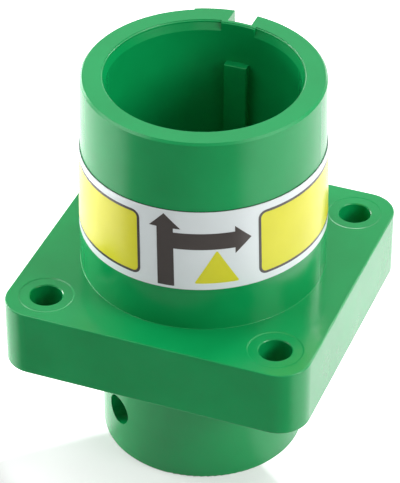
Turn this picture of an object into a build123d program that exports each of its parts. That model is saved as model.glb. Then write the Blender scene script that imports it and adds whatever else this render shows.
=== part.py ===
from build123d import *
import math
import os

# Single pole panel connector with a push and turn collar, all sizes in millimetres.
# The origin is the centre of the spigot's lower ring, and Z runs up the bore axis.
# Bearings are degrees about Z: 0 is the front, at -Y, and they grow toward +X.

# Moulded housing: spigot, flange and collar
spigot_radius = 27.5
spigot_length = 36.2
spigot_wall = 5.0
spigot_edge_radius = 0.5
flange_width = 84.0
flange_thickness = 19.0
flange_corner_radius = 8.4
flange_edge_radius = 0.35
collar_base_radius = 32.7
collar_rim_radius = 31.6
collar_height = 56.8
collar_root_radius = 0.1

# Rim of the collar
rim_chamfer = 0.55
square_land_angle = 19.5
bore_edge_radius = 0.35

# Bore that takes the mating plug
plug_seat_radius = 25.1
plug_seat_depth = 11.5
bore_foot_radius = 24.4
bore_depth = 69.0
bore_root_radius = 1.5
lead_in_step = 0.7
lead_in_land = 0.7
lead_in_depth = 2.7
lead_in_gap_width = 9.2

# Latch notch in the rim, and the key rib below it, both at the back
key_bearing = 180.0
notch_width = 6.5
notch_depth = 7.0
notch_root_radius = 0.6
notch_lip = 1.2
rib_width = 6.3
rib_height = 2.3
rib_drop = 11.7
rib_edge_radius = 0.3
rib_embedding = 0.6

# Mounting holes in the flange
hole_pitch = 63.5
hole_radius = 4.3
hole_chamfer = 0.25
spot_face_radius = 7.0
spot_face_flare = 0.4
spot_face_depth = 0.12

# Web across the housing that carries the contact
web_thickness = 12.0
cavity_root_radius = 1.5
contact_clearance = 0.1
shoulder_seat_depth = 2.5

# Screw access hole through the spigot wall
access_radius = 4.3
access_height = 13.5
access_bearing = -35.8

# Printed wrap label
label_top_drop = 20.25
label_height = 23.8
label_thickness = 0.2
label_adhesive = 0.1
label_seam_angle = 3.0
label_bearing = 180.0
label_tilt = 1.1
label_high_bearing = 110.0
label_trim = 2.0

# Contact: pin, shoulder, shank and cable barrel turned in one piece
pin_radius = 8.0
pin_end_drop = 33.0
pin_root_radius = 2.0
pin_tip_chamfer = 0.8
shoulder_radius = 17.0
shoulder_thickness = 4.0
shoulder_flats = 30.0
shank_radius = 14.0
shank_chamfer = 0.8
barrel_recess = 3.0
cable_bore_radius = 8.0
cable_bore_depth = 26.0
cable_bore_chamfer = 1.0

# Insulating tip on the pin
tip_cap_height = 7.0
tip_cap_inset = 0.15
tip_crown_radius = 4.0
tip_stem_radius = 3.5
tip_stem_length = 11.0
tip_hole_spare = 1.0

# Rings that seal the shank in the web
ring_section = 2.4
ring_groove_width = 2.9
ring_spacing = 4.8

# Washer and retaining ring below the web
washer_radius = 20.0
washer_thickness = 1.6
washer_clearance = 0.2
clip_thickness = 1.5
clip_band = 3.2
clip_groove_depth = 0.8
clip_side_play = 0.1
clip_opening_angle = 34.0
clip_lug_radius = 2.2
clip_lug_hole_radius = 1.0

# Screw that clamps the cable in the barrel
clamp_screw_radius = 5.0
clamp_screw_length = 9.0
clamp_screw_chamfer = 0.7
clamp_screw_start = 8.4
clamp_key_width = 5.0
clamp_key_depth = 4.5
thread_clearance = 0.05

# Levels and radii that follow from the sizes above
flange_top = spigot_length + flange_thickness
rim_level = flange_top + collar_height
floor_level = rim_level - bore_depth
plug_seat_level = rim_level - plug_seat_depth
web_underside = floor_level - web_thickness
lead_in_radius = plug_seat_radius + lead_in_step
cavity_radius = spigot_radius - spigot_wall
passage_radius = shank_radius + contact_clearance
shoulder_underside = floor_level - shoulder_seat_depth
pin_end = rim_level - pin_end_drop
barrel_end = barrel_recess
washer_underside = web_underside - washer_thickness
clip_top = washer_underside - clip_side_play
clip_underside = clip_top - clip_thickness
clip_inner_radius = shank_radius - clip_groove_depth
ring_groove_radius = passage_radius - ring_section
ring_middle_radius = passage_radius - ring_section / 2
ring_middle_level = (shoulder_underside + web_underside) / 2
upper_ring_level = ring_middle_level + ring_spacing / 2
lower_ring_level = ring_middle_level - ring_spacing / 2
label_top = rim_level - label_top_drop
label_bottom = label_top - label_height


# Frame at a bearing and a height, its X axis pointing out from the bore axis.
def bearing_frame(bearing, level):
    return Pos(0, 0, level) * Rot(0, 0, bearing - 90)


# Radius of the tapered collar at a level.
def collar_radius(level):
    share = (level - flange_top) / collar_height
    return collar_base_radius + share * (collar_rim_radius - collar_base_radius)


# Solid of revolution about Z from a closed outline of radii and levels.
def turned(outline, start_bearing=90.0, arc=360.0):
    shape = revolve(make_face(Plane.XZ * outline), Axis.Z, arc)
    return Rot(0, 0, start_bearing - 90) * shape


# Outer body before it is hollowed: spigot, square flange and tapered collar.
def outer_body():
    spigot = Pos(0, 0, spigot_length / 2) * Cylinder(spigot_radius, spigot_length)
    spigot = fillet(spigot.edges().group_by(Axis.Z)[0], spigot_edge_radius)
    plate_sketch = RectangleRounded(flange_width, flange_width, flange_corner_radius)
    plate = extrude(Pos(0, 0, spigot_length) * plate_sketch, flange_thickness)
    plate_rims = plate.edges().group_by(Axis.Z)
    plate = fillet(plate_rims[0] + plate_rims[-1], flange_edge_radius)
    collar_middle = flange_top + collar_height / 2
    collar = Pos(0, 0, collar_middle) * Cone(collar_base_radius, collar_rim_radius, collar_height)
    body = spigot + plate + collar
    rings = body.edges().filter_by(GeomType.CIRCLE)
    root = [ring for ring in rings if math.isclose(ring.radius, collar_base_radius, abs_tol=0.01)]
    return fillet(root, collar_root_radius)


# Round hollow with a rounded root, from the radii and levels of its wall, open end first.
def round_hollow(wall, root_radius):
    open_level = wall[0][1]
    foot_radius, closed_level = wall[-1]
    inward = 1 if closed_level > open_level else -1
    root_start = (foot_radius, closed_level - inward * root_radius)
    root_end = (foot_radius - root_radius, closed_level)
    sides = Polyline((0, closed_level), (0, open_level), *wall[:-1], root_start)
    root = RadiusArc(root_start, root_end, -inward * root_radius)
    return turned(sides + root + Line(root_end, (0, closed_level)))


# Bore for the mating plug: a straight seat inside the mouth, then a drafted wall.
def plug_bore():
    seat_start = (plug_seat_radius, rim_level + 1)
    seat_end = (plug_seat_radius, plug_seat_level)
    return round_hollow([seat_start, seat_end, (bore_foot_radius, floor_level)], bore_root_radius)


# Cavity in the spigot, open below, for the end of the cable.
def spigot_cavity():
    return round_hollow([(cavity_radius, -1), (cavity_radius, web_underside)], cavity_root_radius)


# Ring of waste that leaves a rounded edge at the mouth of the plug seat.
def mouth_rounding():
    inner = plug_seat_radius - 1
    outer = plug_seat_radius + bore_edge_radius
    start = (outer, rim_level)
    end = (plug_seat_radius, rim_level - bore_edge_radius)
    above = rim_level + 1
    sides = Polyline(end, (inner, rim_level - bore_edge_radius), (inner, above), (outer, above), start)
    return turned(sides + RadiusArc(start, end, bore_edge_radius))


# Lead-in relief round the mouth, left out in front of the key rib.
def lead_in_waste():
    inner = plug_seat_radius - 1
    land_end = (lead_in_radius, rim_level - lead_in_land)
    taper_end = (plug_seat_radius, rim_level - lead_in_depth)
    mouth_end = (lead_in_radius, rim_level - bore_edge_radius)
    mouth_start = (lead_in_radius + bore_edge_radius, rim_level)
    above = rim_level + 1
    sides = Polyline(
        mouth_end,
        land_end,
        taper_end,
        (inner, rim_level - lead_in_depth),
        (inner, above),
        (lead_in_radius + bore_edge_radius, above),
        mouth_start,
    )
    outline = sides + RadiusArc(mouth_start, mouth_end, bore_edge_radius)
    half_gap = math.degrees(math.asin(lead_in_gap_width / 2 / plug_seat_radius))
    return turned(outline, key_bearing + half_gap, 360 - 2 * half_gap)


# Chamfer round the rim, left out on the square land beside the notch.
def rim_chamfer_waste():
    outer = collar_base_radius + 1
    slope_foot = collar_radius(rim_level - rim_chamfer)
    outline = Polyline(
        (collar_rim_radius - rim_chamfer, rim_level),
        (slope_foot, rim_level - rim_chamfer),
        (outer, rim_level - rim_chamfer),
        (outer, rim_level + 1),
        (collar_rim_radius - rim_chamfer, rim_level + 1),
        (collar_rim_radius - rim_chamfer, rim_level),
    )
    notch_half_angle = math.degrees(math.asin(notch_width / 2 / collar_rim_radius))
    land_start = key_bearing + notch_half_angle
    return turned(outline, land_start + square_land_angle, 360 - square_land_angle)


# Notch cut from the outside of the rim, which leaves a thin lip along the bore.
def latch_notch():
    reach = collar_base_radius + 1
    lip_radius = plug_seat_radius + notch_lip
    slot = Pos(reach / 2, 0, 0) * Box(reach, notch_width, 2 * notch_depth)
    foot = slot.edges().filter_by(Axis.X).group_by(Axis.Z)[0]
    slot = fillet(foot, notch_root_radius)
    slot = bearing_frame(key_bearing, rim_level) * slot
    return slot - Pos(0, 0, rim_level) * Cylinder(lip_radius, 4 * notch_depth)


# Key rib on the back wall of the bore, from below the mouth to the floor.
def key_rib():
    top = rim_level - rib_drop
    inner = plug_seat_radius - rib_height
    outer = plug_seat_radius + rib_embedding
    length = top - floor_level + bore_root_radius
    centre = (inner + outer) / 2
    block = Pos(centre, 0, -length / 2) * Box(outer - inner, rib_width, length)
    front_edges = block.edges().filter_by(Axis.Z).group_by(Axis.X)[0]
    top_edges = block.faces().sort_by(Axis.Z)[-1].edges().sort_by(Axis.X)[0:1]
    block = fillet(front_edges + top_edges, rib_edge_radius)
    return bearing_frame(key_bearing, top) * block


# Four mounting holes, chamfered at both ends, each in a shallow spot face with a flared rim.
def mounting_holes():
    half = flange_thickness / 2
    drill = Cylinder(hole_radius, flange_thickness + 2)
    mouth_radius = hole_radius + hole_chamfer
    upper_level = half - spot_face_depth
    upper = Pos(0, 0, upper_level - hole_chamfer / 2) * Cone(hole_radius, mouth_radius, hole_chamfer)
    lower = Pos(0, 0, hole_chamfer / 2 - half) * Cone(mouth_radius, hole_radius, hole_chamfer)
    outer_radius = spot_face_radius + spot_face_flare
    spot_face = Pos(0, 0, half - spot_face_depth / 2) * Cone(spot_face_radius, outer_radius, spot_face_depth)
    hole = drill + upper + lower + spot_face
    middle = Pos(0, 0, spigot_length + half)
    return [middle * place * hole for place in GridLocations(hole_pitch, hole_pitch, 2, 2)]


# Passage for the contact through the web, with a seat for its flatted shoulder.
def contact_passage():
    passage = Pos(0, 0, (floor_level + web_underside) / 2) * Cylinder(passage_radius, web_thickness + 2)
    seat_round = Circle(shoulder_radius + contact_clearance)
    flats = shoulder_flats + 2 * contact_clearance
    seat_sketch = seat_round & Rectangle(flats, 3 * shoulder_radius)
    seat = extrude(Pos(0, 0, shoulder_underside) * seat_sketch, shoulder_seat_depth + 1)
    return passage + seat


# Access hole that lets a key reach the clamp screw.
def access_hole():
    reach = spigot_radius + 1
    drill = Pos(reach / 2, 0, 0) * Rot(0, 90, 0) * Cylinder(access_radius, reach)
    return bearing_frame(access_bearing, access_height) * drill


# One-piece moulded housing.
def housing():
    body = outer_body()
    body -= plug_bore()
    body -= spigot_cavity()
    body -= mouth_rounding()
    body -= lead_in_waste()
    body -= rim_chamfer_waste()
    body -= latch_notch()
    body -= mounting_holes()
    body += key_rib()
    body -= contact_passage()
    body -= access_hole()
    return body


# Printed label wrapped round the collar a little askew, with its seam at the back.
def wrap_label():
    foot = label_bottom - label_trim
    head = label_top + label_trim
    foot_radius = collar_radius(foot) + label_adhesive
    head_radius = collar_radius(head) + label_adhesive
    outline = Polyline(
        (foot_radius, foot),
        (foot_radius + label_thickness, foot),
        (head_radius + label_thickness, head),
        (head_radius, head),
        (foot_radius, foot),
    )
    sleeve = turned(outline, label_bearing + label_seam_angle / 2, 360 - label_seam_angle)
    slab = Rot(0, -label_tilt, 0) * Cylinder(2 * collar_base_radius, label_height)
    return sleeve & bearing_frame(label_high_bearing, (label_top + label_bottom) / 2) * slab


# Contact turned from bar: plain pin, shoulder with flats, shank and cable barrel.
def contact():
    shoulder_top = shoulder_underside + shoulder_thickness
    foot_radius = pin_radius + pin_root_radius
    tip_radius = pin_radius - pin_tip_chamfer
    end_radius = shank_radius - shank_chamfer
    lower = Polyline(
        (0, pin_end),
        (0, barrel_end),
        (end_radius, barrel_end),
        (shank_radius, barrel_end + shank_chamfer),
        (shank_radius, shoulder_underside),
        (shoulder_radius, shoulder_underside),
        (shoulder_radius, shoulder_top),
        (foot_radius, shoulder_top),
    )
    root = RadiusArc((foot_radius, shoulder_top), (pin_radius, shoulder_top + pin_root_radius), pin_root_radius)
    upper = Polyline(
        (pin_radius, shoulder_top + pin_root_radius),
        (pin_radius, pin_end - pin_tip_chamfer),
        (tip_radius, pin_end),
        (0, pin_end),
    )
    body = turned(lower + root + upper)
    for level in (upper_ring_level, lower_ring_level):
        body -= groove(ring_groove_radius, level, ring_groove_width)
    clip_middle = (clip_top + clip_underside) / 2
    body -= groove(clip_inner_radius, clip_middle, clip_thickness + 2 * clip_side_play)
    body -= shoulder_side_waste()
    body -= cable_bore()
    body -= tip_hole()
    body -= clamp_screw_hole()
    return body


# Square groove round the shank.
def groove(floor_radius, level, width):
    outer = Cylinder(shank_radius + 1, width)
    return Pos(0, 0, level) * (outer - Cylinder(floor_radius, width + 1))


# Waste outside the two flats of the shoulder.
def shoulder_side_waste():
    middle = shoulder_underside + shoulder_thickness / 2
    blank = Cylinder(shoulder_radius + 1, shoulder_thickness)
    kept = Box(shoulder_flats, 3 * shoulder_radius, shoulder_thickness)
    return Pos(0, 0, middle) * (blank - kept)


# Bore for the stripped cable, drilled from below with a conical end.
def cable_bore():
    bore_end = barrel_end + cable_bore_depth
    cone_height = cable_bore_radius * math.tan(math.radians(31))
    mouth_radius = cable_bore_radius + cable_bore_chamfer
    outline = Polyline(
        (0, barrel_end - 1),
        (mouth_radius, barrel_end - 1),
        (mouth_radius, barrel_end),
        (cable_bore_radius, barrel_end + cable_bore_chamfer),
        (cable_bore_radius, bore_end),
        (0, bore_end + cone_height),
        (0, barrel_end - 1),
    )
    return turned(outline)


# Hole in the end of the pin for the stem of the insulating tip.
def tip_hole():
    depth = tip_stem_length + tip_hole_spare
    return Pos(0, 0, pin_end - depth / 2 + 0.5) * Cylinder(tip_stem_radius, depth + 1)


# Tapped hole through one side of the barrel, at the size of its thread crests.
def clamp_screw_hole():
    hole_radius_tapped = clamp_screw_radius + thread_clearance
    reach = shank_radius + 1
    drill = Pos(reach / 2, 0, 0) * Rot(0, 90, 0) * Cylinder(hole_radius_tapped, reach)
    return bearing_frame(access_bearing, access_height) * drill


# Insulating tip: a crowned cap on a stem that is pressed into the pin.
def contact_tip():
    cap_radius = pin_radius - tip_cap_inset
    cap_top = pin_end + tip_cap_height
    crown_start = (cap_radius, cap_top - tip_crown_radius)
    crown_end = (cap_radius - tip_crown_radius, cap_top)
    stem_end = pin_end - tip_stem_length
    sides = Polyline(
        (0, cap_top),
        (0, stem_end),
        (tip_stem_radius, stem_end),
        (tip_stem_radius, pin_end),
        (cap_radius, pin_end),
        crown_start,
    )
    crown = RadiusArc(crown_start, crown_end, -tip_crown_radius)
    return turned(sides + crown + Line(crown_end, (0, cap_top)))


# Round rubber ring in one of the shank's grooves.
def seal_ring(level):
    return Pos(0, 0, level) * Torus(ring_middle_radius, ring_section / 2)


# Plain washer below the web.
def retaining_washer():
    bore = shank_radius + washer_clearance
    ring = Cylinder(washer_radius, washer_thickness) - Cylinder(bore, washer_thickness + 1)
    return Pos(0, 0, washer_underside + washer_thickness / 2) * ring


# Open spring ring in the shank's lower groove, with two drilled lugs.
def retaining_ring():
    outer = clip_inner_radius + clip_band
    lug_centre = outer - clip_lug_radius / 2
    half_opening = clip_opening_angle / 2
    band = Circle(outer) - Circle(clip_inner_radius)
    opening = Polyline(
        (0, 0),
        (2 * outer * math.cos(math.radians(half_opening)), 2 * outer * math.sin(math.radians(half_opening))),
        (2 * outer * math.cos(math.radians(half_opening)), -2 * outer * math.sin(math.radians(half_opening))),
        (0, 0),
    )
    band -= make_face(opening)
    for side in (-1, 1):
        turn = Rot(0, 0, side * half_opening)
        place = turn * Pos(lug_centre, side * clip_lug_radius, 0)
        band += place * Circle(clip_lug_radius) - Circle(clip_inner_radius)
        band -= place * Circle(clip_lug_hole_radius)
    return extrude(Pos(0, 0, clip_underside) * band, clip_thickness)


# Headless screw with a hexagon socket, standing in line with the access hole.
def clamp_screw():
    blank = Cylinder(clamp_screw_radius, clamp_screw_length)
    blank = chamfer(blank.edges().filter_by(GeomType.CIRCLE), clamp_screw_chamfer)
    socket_sketch = RegularPolygon(clamp_key_width / 2, 6, major_radius=False)
    socket_floor = clamp_screw_length / 2 - clamp_key_depth
    blank -= extrude(Pos(0, 0, socket_floor) * socket_sketch, clamp_key_depth + 1)
    middle = clamp_screw_start + clamp_screw_length / 2
    return bearing_frame(access_bearing, access_height) * Pos(middle, 0, 0) * Rot(0, 90, 0) * blank


# Every piece is written to a file with its own name.
pieces = {
    "housing": housing(),
    "wrap_label": wrap_label(),
    "contact": contact(),
    "contact_tip": contact_tip(),
    "upper_seal_ring": seal_ring(upper_ring_level),
    "lower_seal_ring": seal_ring(lower_ring_level),
    "retaining_washer": retaining_washer(),
    "retaining_ring": retaining_ring(),
    "clamp_screw": clamp_screw(),
}

os.makedirs("parts", exist_ok=True)
for name, piece in pieces.items():
    export_step(piece, "parts/" + name + ".step")
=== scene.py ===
import bpy
import math
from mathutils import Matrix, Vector


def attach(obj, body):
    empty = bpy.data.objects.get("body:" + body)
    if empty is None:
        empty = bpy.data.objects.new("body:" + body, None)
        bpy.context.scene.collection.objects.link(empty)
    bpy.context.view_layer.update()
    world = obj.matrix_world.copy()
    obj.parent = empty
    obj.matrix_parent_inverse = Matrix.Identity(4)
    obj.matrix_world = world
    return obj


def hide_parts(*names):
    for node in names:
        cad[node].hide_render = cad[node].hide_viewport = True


# Green panel-mount single pole connector: a tapered collar with a wrap label,
# a square flange and a hollow spigot. Sizes are in metres, bearings in degrees,
# 0 at the front (-Y) and growing toward +X.

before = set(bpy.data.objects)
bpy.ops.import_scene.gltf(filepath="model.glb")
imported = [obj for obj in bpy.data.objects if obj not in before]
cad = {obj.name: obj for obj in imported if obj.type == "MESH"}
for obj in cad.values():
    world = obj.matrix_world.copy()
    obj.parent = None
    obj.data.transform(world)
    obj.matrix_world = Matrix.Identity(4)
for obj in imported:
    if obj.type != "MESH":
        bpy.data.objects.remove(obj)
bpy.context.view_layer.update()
scene = bpy.context.scene


# small helpers

def deselectAll():
    if bpy.context.object and bpy.context.object.mode != "OBJECT":
        bpy.ops.object.mode_set(mode="OBJECT")
    bpy.ops.object.select_all(action="DESELECT")


def makeActive(piece):
    deselectAll()
    piece.select_set(True)
    bpy.context.view_layer.objects.active = piece


# point on a circle round the bore axis
def atBearing(bearing, radius, height):
    turn = math.radians(bearing)
    return Vector((radius * math.sin(turn), -radius * math.cos(turn), height))


def applyModifier(piece, modifier):
    makeActive(piece)
    bpy.ops.object.modifier_apply(modifier=modifier.name)


# finishes

def newFinish(name, shaderValues):
    finish = bpy.data.materials.new(name)
    finish.use_nodes = True
    tree = finish.node_tree
    shader = tree.nodes["Principled BSDF"]
    for socket, value in shaderValues.items():
        shader.inputs[socket].default_value = value
    return finish, tree, shader


def objectCoords(tree):
    return tree.nodes.new("ShaderNodeTexCoord").outputs["Object"]


def noiseFrom(tree, coords, scale, detail=3.0, roughness=0.5):
    noise = tree.nodes.new("ShaderNodeTexNoise")
    noise.inputs["Scale"].default_value = scale
    noise.inputs["Detail"].default_value = detail
    noise.inputs["Roughness"].default_value = roughness
    tree.links.new(coords, noise.inputs["Vector"])
    return noise.outputs["Fac"]


# spreads a 0..1 pattern between two colours or greys
def rampBetween(tree, pattern, low, high, start=0.3, end=0.7):
    ramp = tree.nodes.new("ShaderNodeValToRGB")
    ramp.color_ramp.elements[0].position = start
    ramp.color_ramp.elements[1].position = end
    ramp.color_ramp.elements[0].color = low
    ramp.color_ramp.elements[1].color = high
    tree.links.new(pattern, ramp.inputs["Fac"])
    return ramp.outputs["Color"]


def grey(level):
    return (level, level, level, 1.0)


# chain of bumps, each a pattern with its depth in metres
def stackBumps(tree, shader, layers):
    normal = None
    for pattern, depth in layers:
        bump = tree.nodes.new("ShaderNodeBump")
        bump.inputs["Strength"].default_value = 1.0
        bump.inputs["Distance"].default_value = depth
        tree.links.new(pattern, bump.inputs["Height"])
        if normal:
            tree.links.new(normal, bump.inputs["Normal"])
        normal = bump.outputs["Normal"]
    tree.links.new(normal, shader.inputs["Normal"])


# moulded, rubber and printed surfaces: mottled colour, uneven gloss, soft relief
def mottledFinish(name, look):
    finish, tree, shader = newFinish(name, look["shader"])
    coords = objectCoords(tree)
    mottle = noiseFrom(tree, coords, look["mottleScale"], 4.0)
    colour = rampBetween(tree, mottle, look["darkTone"], look["lightTone"])
    tree.links.new(colour, shader.inputs["Base Color"])
    polish = noiseFrom(tree, coords, look["polishScale"], 1.0, 0.4)
    gloss = rampBetween(tree, polish, grey(look["glossy"]), grey(look["dull"]))
    tree.links.new(gloss, shader.inputs["Roughness"])
    peel = noiseFrom(tree, coords, look["peelScale"], 2.0)
    grain = noiseFrom(tree, coords, look["grainScale"], 2.0)
    stackBumps(tree, shader, [(peel, look["peelDepth"]), (grain, look["grainDepth"])])
    return finish


def vectorStep(tree, operation, vector):
    step = tree.nodes.new("ShaderNodeVectorMath")
    step.operation = operation
    tree.links.new(vector, step.inputs[0])
    return step


# a place with its height taken out, and that height by itself
def levelCoords(tree):
    split = tree.nodes.new("ShaderNodeSeparateXYZ")
    tree.links.new(objectCoords(tree), split.inputs["Vector"])
    level = tree.nodes.new("ShaderNodeCombineXYZ")
    tree.links.new(split.outputs["X"], level.inputs["X"])
    tree.links.new(split.outputs["Y"], level.inputs["Y"])
    return level.outputs["Vector"], split.outputs["Z"]


# distance from the bore axis and height, as a pattern's coordinates
def turningCoords(tree):
    level, height = levelCoords(tree)
    joined = tree.nodes.new("ShaderNodeCombineXYZ")
    tree.links.new(vectorStep(tree, "LENGTH", level).outputs["Value"], joined.inputs["X"])
    tree.links.new(height, joined.inputs["Z"])
    return joined.outputs["Vector"]


# metal turned on a lathe: rings round the axis over a slow tarnish
def turnedFinish(name, look):
    finish, tree, shader = newFinish(name, look["shader"])
    rings = noiseFrom(tree, turningCoords(tree), look["ringScale"], 4.0, 0.7)
    tarnish = noiseFrom(tree, objectCoords(tree), look["tarnishScale"], 4.0)
    colour = rampBetween(tree, tarnish, look["darkTone"], look["lightTone"])
    tree.links.new(colour, shader.inputs["Base Color"])
    gloss = rampBetween(tree, rings, grey(look["glossy"]), grey(look["dull"]))
    tree.links.new(gloss, shader.inputs["Roughness"])
    stackBumps(tree, shader, [(rings, look["ringDepth"])])
    return finish


# rolled or blackened steel: streaks along one direction and small pits
def streakedFinish(name, look):
    finish, tree, shader = newFinish(name, look["shader"])
    stretch = tree.nodes.new("ShaderNodeMapping")
    stretch.inputs["Scale"].default_value = look["stretch"]
    tree.links.new(objectCoords(tree), stretch.inputs["Vector"])
    streaks = noiseFrom(tree, stretch.outputs["Vector"], look["streakScale"], 4.0, 0.65)
    pits = noiseFrom(tree, objectCoords(tree), look["pitScale"], 3.0)
    colour = rampBetween(tree, streaks, look["darkTone"], look["lightTone"])
    tree.links.new(colour, shader.inputs["Base Color"])
    gloss = rampBetween(tree, streaks, grey(look["glossy"]), grey(look["dull"]))
    tree.links.new(gloss, shader.inputs["Roughness"])
    stackBumps(tree, shader, [(streaks, look["streakDepth"]), (pits, look["pitDepth"])])
    return finish


housingLook = {
    "darkTone": (0.002, 0.262, 0.068, 1.0),
    "lightTone": (0.003, 0.300, 0.082, 1.0),
    "mottleScale": 55.0,
    "polishScale": 120.0,
    "glossy": 0.19,
    "dull": 0.24,
    "peelScale": 260.0,
    "peelDepth": 0.000008,
    "grainScale": 2600.0,
    "grainDepth": 0.000003,
    "shader": {"IOR": 1.42},
}

filmLook = {
    "darkTone": (0.69, 0.74, 0.75, 1.0),
    "lightTone": (0.72, 0.77, 0.78, 1.0),
    "mottleScale": 80.0,
    "polishScale": 200.0,
    "glossy": 0.22,
    "dull": 0.26,
    "peelScale": 320.0,
    "peelDepth": 0.00001,
    "grainScale": 2600.0,
    "grainDepth": 0.000002,
    "shader": {"IOR": 1.48},
}

yellowInkLook = dict(filmLook, darkTone=(0.64, 0.61, 0.014, 1.0), lightTone=(0.69, 0.655, 0.022, 1.0))
darkInkLook = dict(filmLook, darkTone=(0.056, 0.046, 0.043, 1.0), lightTone=(0.066, 0.055, 0.051, 1.0))

# painted shade: a thin dark green strip on the collar stands for the shadow where the film's upper edge
# stands off the collar
paintedShadeLook = dict(housingLook, darkTone=(0.002, 0.050, 0.014, 1.0), lightTone=(0.003, 0.060, 0.018, 1.0))

tipLook = {
    "darkTone": (0.012, 0.012, 0.013, 1.0),
    "lightTone": (0.022, 0.022, 0.023, 1.0),
    "mottleScale": 150.0,
    "polishScale": 300.0,
    "glossy": 0.34,
    "dull": 0.46,
    "peelScale": 700.0,
    "peelDepth": 0.00002,
    "grainScale": 3500.0,
    "grainDepth": 0.000004,
    "shader": {"IOR": 1.5},
}

rubberLook = dict(
    tipLook,
    darkTone=(0.010, 0.010, 0.010, 1.0),
    lightTone=(0.020, 0.019, 0.018, 1.0),
    glossy=0.5,
    dull=0.66,
)

contactLook = {
    "darkTone": (0.66, 0.62, 0.56, 1.0),
    "lightTone": (0.86, 0.84, 0.80, 1.0),
    "ringScale": 2400.0,
    "ringDepth": 0.000012,
    "tarnishScale": 70.0,
    "glossy": 0.20,
    "dull": 0.34,
    "shader": {"Metallic": 1.0},
}

washerLook = {
    "darkTone": (0.46, 0.46, 0.45, 1.0),
    "lightTone": (0.62, 0.62, 0.61, 1.0),
    "stretch": (1.0, 14.0, 14.0),
    "streakScale": 120.0,
    "streakDepth": 0.00001,
    "pitScale": 900.0,
    "pitDepth": 0.000006,
    "glossy": 0.26,
    "dull": 0.40,
    "shader": {"Metallic": 1.0},
}

springLook = dict(
    washerLook,
    darkTone=(0.055, 0.055, 0.06, 1.0),
    lightTone=(0.12, 0.12, 0.125, 1.0),
    stretch=(1.0, 1.0, 6.0),
    glossy=0.34,
    dull=0.5,
)

screwLook = dict(
    washerLook,
    darkTone=(0.035, 0.035, 0.038, 1.0),
    lightTone=(0.10, 0.10, 0.105, 1.0),
    stretch=(1.0, 1.0, 1.0),
    streakScale=500.0,
    glossy=0.32,
    dull=0.5,
)

housingFinish = mottledFinish("mouldedGreen", housingLook)
filmFinish = mottledFinish("printFilm", filmLook)
yellowInk = mottledFinish("yellowInk", yellowInkLook)
darkInk = mottledFinish("darkInk", darkInkLook)
paintedEdgeShade = mottledFinish("paintedEdgeShade", paintedShadeLook)
tipFinish = mottledFinish("mouldedBlack", tipLook)
rubberFinish = mottledFinish("sealRubber", rubberLook)
contactFinish = turnedFinish("silverPlate", contactLook)
washerFinish = streakedFinish("rolledSteel", washerLook)
springFinish = streakedFinish("springSteel", springLook)
screwFinish = streakedFinish("blackOxide", screwLook)

nodeFinishes = {
    "housing": housingFinish,
    "wrap_label": filmFinish,
    "contact": contactFinish,
    "contact_tip": tipFinish,
    "upper_seal_ring": rubberFinish,
    "lower_seal_ring": rubberFinish,
    "retaining_washer": washerFinish,
    "retaining_ring": springFinish,
    "clamp_screw": screwFinish,
}


def dressNode(node, finish):
    if not node.material_slots:
        node.data.materials.append(finish)
    for slot in node.material_slots:
        slot.material = finish


for nodeName, finish in nodeFinishes.items():
    dressNode(cad[nodeName], finish)
print("finishes are on the housing and its small parts")


# print on the wrap label

labelPrint = {
    "lift": 0.00003,          # outer face of the ink above the film
    "thickness": 0.00002,
    "columnAngle": 2.0,       # degrees between the cuts that let a print bend
    "tilt": 1.1,              # the label was stuck on a little askew
    "highBearing": 110.0,
    "middle": 0.07985,
    "outlineWidth": 0.00075,
    "panelCorner": 0.0022,
    "triangleCorner": 0.0006,
    "leftPanel": {"from": -125.0, "to": -8.7, "low": 0.0700, "high": 0.08965},
    "rightPanel": {"from": 46.4, "to": 163.0, "low": 0.0700, "high": 0.08965},
    "upArrow": {
        "apex": (3.3, 0.0908),
        "headLeft": -3.8,
        "headRight": 10.9,
        "headBase": 0.08650,
        "shaftLeft": -0.2,
        "shaftRight": 7.5,
        "shaftFoot": 0.06875,
    },
    "turnArrow": {
        "apex": (42.9, 0.08285),
        "headLow": 0.07862,
        "headHigh": 0.08702,
        "headBase": 35.3,
        "shaftLow": 0.0804,
        "shaftHigh": 0.0853,
        "shaftStart": 7.4,
    },
    "triangle": {"apex": (27.0, 0.0801), "left": (16.5, 0.06993), "right": (37.0, 0.06993)},
    # painted shade: dark strip on the collar along the film's upper edge
    "paintedShadeBand": {"from": -178.0, "to": 178.0, "low": 0.09172, "high": 0.09196},
    "paintedShadeBandLift": -0.00027,    # on the collar, under the level of the film
}


# outer radius of the film at its lowest and highest point, read off the node
def filmTaper():
    points = [vertex.co for vertex in cad["wrap_label"].data.vertices]
    lowest = min(points, key=lambda point: point.z)
    highest = max(points, key=lambda point: point.z)
    return (lowest.z, lowest.xy.length), (highest.z, highest.xy.length)


taperEdges = filmTaper()
flatRadius = (taperEdges[0][1] + taperEdges[1][1]) / 2


def filmRadius(height):
    (lowLevel, lowRadius), (highLevel, highRadius) = taperEdges
    share = (height - lowLevel) / (highLevel - lowLevel)
    return lowRadius + share * (highRadius - lowRadius)


# a print is drawn flat first: X is the way round the film, Y is the height
def flatPoint(bearing, height):
    return Vector((math.radians(bearing) * flatRadius, height, 0.0))


# flat face from a circle primitive with one vertex for each corner
def flatOutline(name, corners):
    deselectAll()
    bpy.ops.mesh.primitive_circle_add(vertices=len(corners), radius=0.01, fill_type="NGON")
    piece = bpy.context.object
    piece.name = piece.data.name = name
    for vertex, corner in zip(piece.data.vertices, corners):
        vertex.co = flatPoint(*corner)
    return piece


def roundCorners(piece, radius, segments):
    makeActive(piece)
    bpy.ops.object.mode_set(mode="EDIT")
    bpy.ops.mesh.select_all(action="SELECT")
    bpy.ops.mesh.bevel(affect="VERTICES", offset=radius, segments=segments, clamp_overlap=False)
    bpy.ops.object.mode_set(mode="OBJECT")


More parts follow.
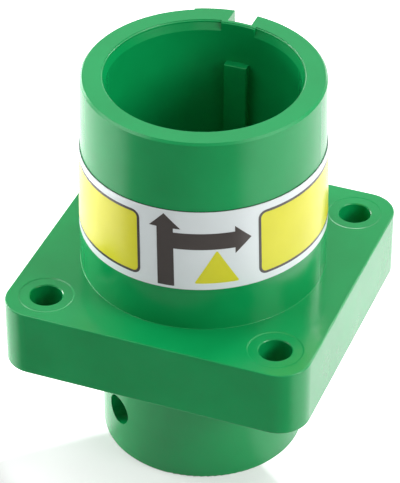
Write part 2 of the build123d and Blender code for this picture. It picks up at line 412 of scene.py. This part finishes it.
# dark line round a panel: the ring that an inset leaves takes the second finish
def insetOutline(piece, width):
    makeActive(piece)
    bpy.ops.object.mode_set(mode="EDIT")
    bpy.ops.mesh.select_all(action="SELECT")
    bpy.ops.mesh.inset(thickness=width)
    bpy.ops.object.mode_set(mode="OBJECT")
    largest = max(piece.data.polygons, key=lambda face: face.area)
    for face in piece.data.polygons:
        face.material_index = 0 if face.index == largest.index else 1


def cutColumns(piece):
    makeActive(piece)
    across = [v.co.x for v in piece.data.vertices]
    step = math.radians(labelPrint["columnAngle"]) * flatRadius
    first = math.ceil(min(across) / step)
    last = math.floor(max(across) / step)
    bpy.ops.object.mode_set(mode="EDIT")
    for column in range(first, last + 1):
        bpy.ops.mesh.select_all(action="SELECT")
        bpy.ops.mesh.bisect(plane_co=(column * step, 0.0, 0.0), plane_no=(1.0, 0.0, 0.0))
    bpy.ops.object.mode_set(mode="OBJECT")


# lays a flat print round the film, leaning as the label does
def wrapRound(piece, lift):
    lean = math.tan(math.radians(labelPrint["tilt"]))
    highTurn = math.radians(labelPrint["highBearing"])
    for vertex in piece.data.vertices:
        turn = vertex.co.x / flatRadius
        above = vertex.co.y - labelPrint["middle"]
        turn += lean * math.sin(turn - highTurn) * above / flatRadius
        height = vertex.co.y + lean * math.cos(turn - highTurn) * flatRadius
        vertex.co = atBearing(math.degrees(turn), filmRadius(height) + lift, height)
    body = piece.modifiers.new("inkBody", "SOLIDIFY")
    body.thickness = labelPrint["thickness"]
    body.offset = -1.0
    applyModifier(piece, body)
    makeActive(piece)
    bpy.ops.object.shade_smooth_by_angle(angle=math.radians(30))


def placePrint(piece, finishes, lift=labelPrint["lift"]):
    for finish in finishes:
        piece.data.materials.append(finish)
    cutColumns(piece)
    wrapRound(piece, lift)
    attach(piece, "root")


def bandCorners(edges):
    return [
        (edges["from"], edges["low"]),
        (edges["to"], edges["low"]),
        (edges["to"], edges["high"]),
        (edges["from"], edges["high"]),
    ]


def makePanel(name, edges):
    panel = flatOutline(name, bandCorners(edges))
    roundCorners(panel, labelPrint["panelCorner"], 6)
    insetOutline(panel, labelPrint["outlineWidth"])
    placePrint(panel, [yellowInk, darkInk])


def makeUpArrow(arrow):
    corners = [
        (arrow["shaftLeft"], arrow["shaftFoot"]),
        (arrow["shaftRight"], arrow["shaftFoot"]),
        (arrow["shaftRight"], arrow["headBase"]),
        (arrow["headRight"], arrow["headBase"]),
        arrow["apex"],
        (arrow["headLeft"], arrow["headBase"]),
        (arrow["shaftLeft"], arrow["headBase"]),
    ]
    placePrint(flatOutline("label_up_arrow", corners), [darkInk])


def makeTurnArrow(arrow):
    corners = [
        (arrow["shaftStart"], arrow["shaftLow"]),
        (arrow["headBase"], arrow["shaftLow"]),
        (arrow["headBase"], arrow["headLow"]),
        arrow["apex"],
        (arrow["headBase"], arrow["headHigh"]),
        (arrow["headBase"], arrow["shaftHigh"]),
        (arrow["shaftStart"], arrow["shaftHigh"]),
    ]
    placePrint(flatOutline("label_turn_arrow", corners), [darkInk])


def makeTriangle(sign):
    triangle = flatOutline("label_triangle", [sign["left"], sign["right"], sign["apex"]])
    roundCorners(triangle, labelPrint["triangleCorner"], 4)
    placePrint(triangle, [yellowInk])


# painted shade: a dark strip laid on the collar just above the film's top edge, in place of that edge's
# thin shadow
def makePaintedShadeBand(edges):
    line = flatOutline("label_edge_painted_shade", bandCorners(edges))
    placePrint(line, [paintedEdgeShade], labelPrint["paintedShadeBandLift"])


makePanel("label_panel_left", labelPrint["leftPanel"])
makePanel("label_panel_right", labelPrint["rightPanel"])
makeUpArrow(labelPrint["upArrow"])
makeTurnArrow(labelPrint["turnArrow"])
makeTriangle(labelPrint["triangle"])
makePaintedShadeBand(labelPrint["paintedShadeBand"])
print("the print lies on the label")


# clamp screw with its thread

clampScrew = {
    "crestRadius": 0.0050,
    "rootRadius": 0.00415,
    "pitch": 0.0015,
    "turns": 9,
    "stepsPerTurn": 40,
    "length": 0.0090,
    "chamfer": 0.0007,
    "socketAcross": 0.0050,
    "socketDepth": 0.0045,
    "socketCone": 0.0010,
    "start": 0.0084,
    "bearing": -35.8,
    "height": 0.0135,
}


# one tooth's outline, wound up the axis, with both ends cut flat
def windThread(screw):
    crest, root, pitch = screw["crestRadius"], screw["rootRadius"], screw["pitch"]
    tooth = [(root, 0.0), (root, 0.2), (crest, 0.53), (crest, 0.67), (root, 1.0)]
    deselectAll()
    bpy.ops.mesh.primitive_circle_add(vertices=len(tooth), radius=0.001)
    thread = bpy.context.object
    thread.name = thread.data.name = "clamp_screw_thread"
    for vertex, (radius, share) in zip(thread.data.vertices, tooth):
        vertex.co = (radius, 0.0, share * pitch)
    last = len(tooth) - 1
    for vertex in thread.data.vertices:
        vertex.select = False
    for edge in thread.data.edges:
        edge.select = set(edge.vertices) == {0, last}    # the closing edge
    bpy.ops.object.mode_set(mode="EDIT")
    bpy.ops.mesh.select_mode(type="EDGE")
    bpy.ops.mesh.delete(type="EDGE")
    bpy.ops.mesh.select_mode(type="VERT")
    bpy.ops.object.mode_set(mode="OBJECT")

    winding = thread.modifiers.new("winding", "SCREW")
    winding.axis = "Z"
    winding.angle = math.tau
    winding.screw_offset = pitch
    winding.iterations = screw["turns"]
    winding.steps = winding.render_steps = screw["stepsPerTurn"]
    applyModifier(thread, winding)

    spare = (screw["turns"] * pitch - screw["length"]) / 2
    makeActive(thread)
    bpy.ops.object.mode_set(mode="EDIT")
    bpy.ops.mesh.select_all(action="SELECT")
    bpy.ops.mesh.remove_doubles(threshold=0.000001)
    foot = (0.0, 0.0, spare)
    head = (0.0, 0.0, spare + screw["length"])
    bpy.ops.mesh.bisect(plane_co=foot, plane_no=(0.0, 0.0, 1.0), use_fill=True, clear_inner=True)
    bpy.ops.mesh.select_all(action="SELECT")
    bpy.ops.mesh.bisect(plane_co=head, plane_no=(0.0, 0.0, 1.0), use_fill=True, clear_outer=True)
    bpy.ops.mesh.select_all(action="SELECT")
    bpy.ops.mesh.normals_make_consistent(inside=False)
    bpy.ops.transform.translate(value=(0.0, 0.0, -spare - screw["length"] / 2))
    bpy.ops.object.mode_set(mode="OBJECT")
    return thread


# cuts or keeps by another piece, which is then thrown away
def carve(piece, tool, operation):
    cut = piece.modifiers.new("carve", "BOOLEAN")
    cut.operation = operation
    cut.solver = "EXACT"
    cut.object = tool
    applyModifier(piece, cut)
    bpy.data.objects.remove(tool)


def chamferedBlank(screw):
    deselectAll()
    radius = screw["crestRadius"] + 0.00002
    bpy.ops.mesh.primitive_cylinder_add(vertices=96, radius=radius, depth=screw["length"])
    blank = bpy.context.object
    rims = blank.modifiers.new("ends", "BEVEL")
    rims.width = screw["chamfer"]
    rims.segments = 1
    rims.limit_method = "ANGLE"
    applyModifier(blank, rims)
    return blank


# hexagon prism whose lower end is drawn in like the end of a drill
def hexagonPlug(screw):
    deselectAll()
    reach = screw["socketAcross"] / 2 / math.cos(math.radians(30))
    depth = screw["socketDepth"]
    top = screw["length"] / 2
    bpy.ops.mesh.primitive_cylinder_add(vertices=6, radius=reach, depth=2 * depth, location=(0.0, 0.0, top))
    plug = bpy.context.object
    bpy.ops.object.transform_apply(location=True)
    for part in (plug.data.polygons, plug.data.edges):
        part.foreach_set("select", [False] * len(part))
    for vertex in plug.data.vertices:
        vertex.select = vertex.co.z < top
    bpy.ops.object.mode_set(mode="EDIT")
    bpy.ops.mesh.extrude_region_move(TRANSFORM_OT_translate={"value": (0.0, 0.0, -screw["socketCone"])})
    bpy.ops.mesh.merge(type="CENTER")
    bpy.ops.object.mode_set(mode="OBJECT")
    return plug


def makeClampScrew(screw):
    thread = windThread(screw)
    carve(thread, chamferedBlank(screw), "INTERSECT")
    carve(thread, hexagonPlug(screw), "DIFFERENCE")
    outward = atBearing(screw["bearing"], 1.0, 0.0)
    middle = screw["start"] + screw["length"] / 2
    makeActive(thread)
    thread.rotation_euler = outward.to_track_quat("Z", "Y").to_euler()
    thread.location = atBearing(screw["bearing"], middle, screw["height"])
    bpy.ops.object.transform_apply(location=True, rotation=True, scale=True)
    bpy.ops.object.shade_smooth_by_angle(angle=math.radians(25))
    thread.data.materials.clear()
    thread.data.materials.append(screwFinish)
    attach(thread, "root")
    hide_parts("clamp_screw")


makeClampScrew(clampScrew)
print("the clamp screw has its thread and socket")


# camera, floor and lamps

view = {
    "eye": (0.210748, -0.549061, 0.496014),
    "target": (-0.003283, 0.005895, 0.053990),
    "lens": 205.8,
    "sensor": 36.0,
}


def placeCamera():
    deselectAll()
    look = Vector(view["target"]) - Vector(view["eye"])
    bpy.ops.object.camera_add(location=view["eye"], rotation=look.to_track_quat("-Z", "Y").to_euler())
    camera = bpy.context.object
    camera.name = "photoCamera"
    camera.data.lens = view["lens"]
    camera.data.sensor_width = view["sensor"]
    camera.data.clip_start = 0.01
    camera.data.clip_end = 100.0
    scene.camera = camera


placeCamera()

studio = {
    "floorSize": 8.0,
    "floorTone": (0.80, 0.80, 0.80, 1.0),      # what the floor throws back on the object
    "seenTone": (0.28, 0.60),                  # floor tone seen by the camera and in reflections, which the object's shadow darkens: lower in front as painted shade, and elsewhere
    "sideGlow": 1.15,                          # on the floor beside and behind the object
    "frontBearing": 3.0,                       # where the floor stays dark, as in the photo
    "frontSpread": (62.0, 43.0),               # degrees from there over which the glow dies
    "nearGlow": 0.40,                          # on the floor close round the foot
    "nearReach": (0.055, 0.075),
    "skyTone": (1.0, 1.0, 1.0, 1.0),
    "skyLight": 0.11,                          # what the sky gives the object
    "skyFade": (0.85, 0.0),                    # from nearly the front to the sides
    "skySeen": (0.35, 1.0),                    # toward the front and toward the back
}

# bearing and elevation of each softbox from the middle of the object; the ones
# that wash the floor hang over it and face straight down
lamps = {
    "leftBox": {
        "bearing": -91.0, "elevation": 7.0, "distance": 0.90,
        "size": (0.50, 0.30), "power": 8.3,
    },
    "leftBackBox": {
        "bearing": -125.0, "elevation": 7.0, "distance": 0.90,
        "size": (0.50, 0.30), "power": 3.0,
    },
    "backBox": {
        "bearing": 180.0, "elevation": 8.0, "distance": 0.90,
        "size": (0.60, 0.30), "power": 1.5,
    },
    "rightBox": {
        "bearing": 81.0, "elevation": 28.0, "distance": 0.90,
        "size": (0.40, 0.30), "power": 4.9,
    },
    "frontBox": {
        "bearing": 12.0, "elevation": 15.0, "distance": 0.90,
        "size": (0.60, 0.40), "power": 0.45,
    },
    "highBox": {
        "bearing": 155.0, "elevation": 40.0, "distance": 0.90,
        "size": (0.15, 0.15), "power": 2.3,
    },
    "floorWashRight": {
        "bearing": 100.0, "elevation": 53.0, "distance": 0.37,
        "size": (0.30, 0.30), "power": 0.62, "down": True,
    },
    "floorWashLeft": {
        "bearing": -82.0, "elevation": 44.0, "distance": 0.36,
        "size": (0.30, 0.30), "power": 0.9, "down": True,
    },
}


def larger(tree, one, other):
    both = tree.nodes.new("ShaderNodeMath")
    both.operation = "MAXIMUM"
    tree.links.new(one, both.inputs[0])
    tree.links.new(other, both.inputs[1])
    return both.outputs["Value"]


# 1 where the camera, a gloss or a clear surface looks at this material
def seenRays(tree):
    rays = tree.nodes.new("ShaderNodeLightPath").outputs
    mirrored = larger(tree, rays["Is Glossy Ray"], rays["Is Transmission Ray"])
    return larger(tree, rays["Is Camera Ray"], mirrored)


# goes smoothly from one level to another as a measure crosses its span
def softFade(tree, measure, span, levels):
    fade = tree.nodes.new("ShaderNodeMapRange")
    fade.interpolation_type = "SMOOTHSTEP"
    fade.inputs["From Min"].default_value, fade.inputs["From Max"].default_value = span
    fade.inputs["To Min"].default_value, fade.inputs["To Max"].default_value = levels
    tree.links.new(measure, fade.inputs["Value"])
    return fade.outputs["Result"]


# 1 toward the front, 0 beside the object, -1 toward the back
def frontFacing(tree, direction):
    facing = vectorStep(tree, "DOT_PRODUCT", direction)
    facing.inputs[1].default_value = atBearing(studio["frontBearing"], 1.0, 0.0)
    return facing.outputs["Value"]


# strength of the floor's glow: full beside and behind, little in front, some at the foot
def floorGlow(tree):
    level = levelCoords(tree)[0]
    ahead = vectorStep(tree, "NORMALIZE", level).outputs["Vector"]
    wide, narrow = (math.cos(math.radians(angle)) for angle in studio["frontSpread"])
    beside = softFade(tree, frontFacing(tree, ahead), (wide, narrow), (studio["sideGlow"], 0.0))
    reach = vectorStep(tree, "LENGTH", level).outputs["Value"]
    near = softFade(tree, reach, studio["nearReach"], (studio["nearGlow"], 0.0))
    return larger(tree, beside, near)


def makeFloor():
    deselectAll()
    bpy.ops.mesh.primitive_plane_add(size=studio["floorSize"], location=(0.0, 0.0, 0.0))
    floor = bpy.context.object
    floor.name = "floor"
    finish = bpy.data.materials.new("paleFloor")
    finish.use_nodes = True
    tree = finish.node_tree
    tree.nodes.clear()
    lit = tree.nodes.new("ShaderNodeBsdfDiffuse")
    lit.inputs["Color"].default_value = studio["floorTone"]
    strength = floorGlow(tree)
    # painted shade: the floor that the camera and reflections see is darker in front, where the glow dies
    # away
    tone = tree.nodes.new("ShaderNodeMapRange")
    tone.inputs["From Max"].default_value = studio["nearGlow"]
    tone.inputs["To Min"].default_value, tone.inputs["To Max"].default_value = studio["seenTone"]
    tree.links.new(strength, tone.inputs["Value"])
    seen = tree.nodes.new("ShaderNodeBsdfDiffuse")
    tree.links.new(tone.outputs["Result"], seen.inputs["Color"])
    glow = tree.nodes.new("ShaderNodeEmission")
    tree.links.new(strength, glow.inputs["Strength"])
    both = tree.nodes.new("ShaderNodeAddShader")
    tree.links.new(seen.outputs["BSDF"], both.inputs[0])
    tree.links.new(glow.outputs["Emission"], both.inputs[1])
    mix = tree.nodes.new("ShaderNodeMixShader")
    tree.links.new(seenRays(tree), mix.inputs["Fac"])
    tree.links.new(lit.outputs["BSDF"], mix.inputs[1])
    tree.links.new(both.outputs["Shader"], mix.inputs[2])
    output = tree.nodes.new("ShaderNodeOutputMaterial")
    tree.links.new(mix.outputs["Shader"], output.inputs["Surface"])
    floor.data.materials.append(finish)


def makeSky():
    world = bpy.data.worlds.new("studioSky")
    scene.world = world
    world.use_nodes = True
    tree = world.node_tree
    sky = tree.nodes["Background"]
    sky.inputs["Color"].default_value = studio["skyTone"]
    facing = frontFacing(tree, objectCoords(tree))
    strength = tree.nodes.new("ShaderNodeMapRange")
    strength.inputs["To Min"].default_value = studio["skyLight"]
    tree.links.new(softFade(tree, facing, studio["skyFade"], studio["skySeen"]), strength.inputs["To Max"])
    tree.links.new(seenRays(tree), strength.inputs["Value"])
    tree.links.new(strength.outputs["Result"], sky.inputs["Strength"])


def hangLamp(name, lamp):
    deselectAll()
    middle = Vector(view["target"])
    flat = lamp["distance"] * math.cos(math.radians(lamp["elevation"]))
    rise = lamp["distance"] * math.sin(math.radians(lamp["elevation"]))
    place = middle + atBearing(lamp["bearing"], flat, rise)
    turn = (middle - place).to_track_quat("-Z", "Y").to_euler()
    if lamp.get("down"):
        turn = (0.0, 0.0, 0.0)
    bpy.ops.object.light_add(type="AREA", location=place, rotation=turn)
    box = bpy.context.object
    box.name = name
    box.data.shape = "RECTANGLE"
    box.data.size, box.data.size_y = lamp["size"]
    box.data.energy = lamp["power"]


makeFloor()
makeSky()
for lampName, lamp in lamps.items():
    hangLamp(lampName, lamp)
scene.view_settings.view_transform = "Standard"
print("camera, floor and lamps stand ready")
